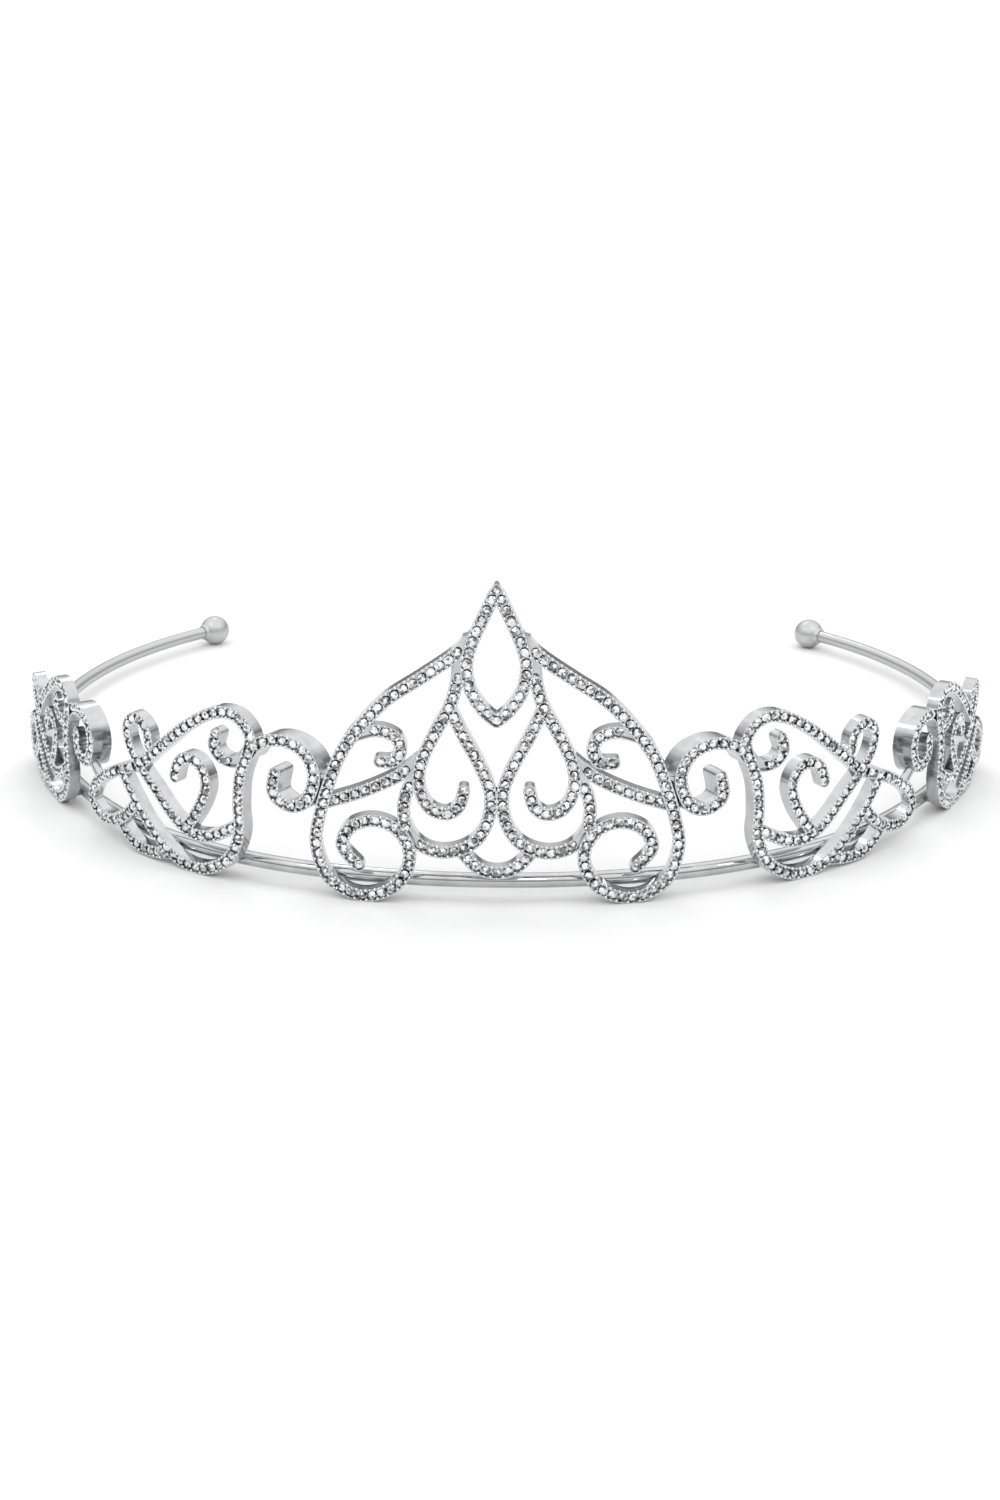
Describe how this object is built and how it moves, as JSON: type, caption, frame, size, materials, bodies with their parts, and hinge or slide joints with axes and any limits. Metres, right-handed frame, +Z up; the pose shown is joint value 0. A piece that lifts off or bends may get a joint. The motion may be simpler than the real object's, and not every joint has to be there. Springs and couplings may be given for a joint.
{
  "type": "bridal tiara",
  "caption": "Bridal tiara: a springy round headband with ball ends and five openwork scroll panels set with small round stones.",
  "frame": {"origin": "on the floor under the middle of the whole tiara, which stands on its panels and its two balls", "axes": "+X from the wearer's right to the wearer's left as seen from the front, +Y from the front towards the back of the head, +Z up; the centre panel faces -Y"},
  "size_m": [0.1444, 0.1156, 0.0428],
  "materials": {
    "rod": "mirror-polished rhodium plate at the front, turning to a soft satin along the two tails",
    "ball": "fine satin rhodium plate",
    "strip": "polished rhodium plate, with small beads raised along both rims of the stone channel",
    "solder": "dull grey silver solder, a little darker than the plate",
    "stones": "clear, round, faceted white stones"
  },
  "bodies": {
    "root": {"headband_rod": "rod", "ball_left": "ball", "ball_right": "ball", "solder_joints": "solder", "panel_links": "solder", "centre_marquise": "strip", "centre_scallop": "strip", "centre_stones": "stones", "centre_arch_left": "strip", "centre_arch_right": "strip", "centre_hook_left": "strip", "centre_hook_right": "strip", "centre_teardrop_left": "strip", "centre_teardrop_right": "strip", "centre_branch_left": "strip", "centre_branch_right": "strip", "centre_curl_left": "strip", "centre_curl_right": "strip", "shoulder_left_stem": "strip", "shoulder_left_cross_bar": "strip", "shoulder_left_leaf_arch": "strip", "shoulder_left_circle_scroll": "strip", "shoulder_left_small_curl": "strip", "shoulder_left_large_curl": "strip", "shoulder_left_far_loop": "strip", "shoulder_left_low_loop": "strip", "shoulder_left_stones": "stones", "shoulder_right_stem": "strip", "shoulder_right_cross_bar": "strip", "shoulder_right_leaf_arch": "strip", "shoulder_right_circle_scroll": "strip", "shoulder_right_small_curl": "strip", "shoulder_right_large_curl": "strip", "shoulder_right_far_loop": "strip", "shoulder_right_low_loop": "strip", "shoulder_right_stones": "stones", "end_left_stem": "strip", "end_left_cross_bar": "strip", "end_left_leaf_arch": "strip", "end_left_circle_scroll": "strip", "end_left_small_curl": "strip", "end_left_large_curl": "strip", "end_left_far_loop": "strip", "end_left_low_loop": "strip", "end_left_stones": "stones", "end_right_stem": "strip", "end_right_cross_bar": "strip", "end_right_leaf_arch": "strip", "end_right_circle_scroll": "strip", "end_right_small_curl": "strip", "end_right_large_curl": "strip", "end_right_far_loop": "strip", "end_right_low_loop": "strip", "end_right_stones": "stones"}
  },
  "joints": []
}
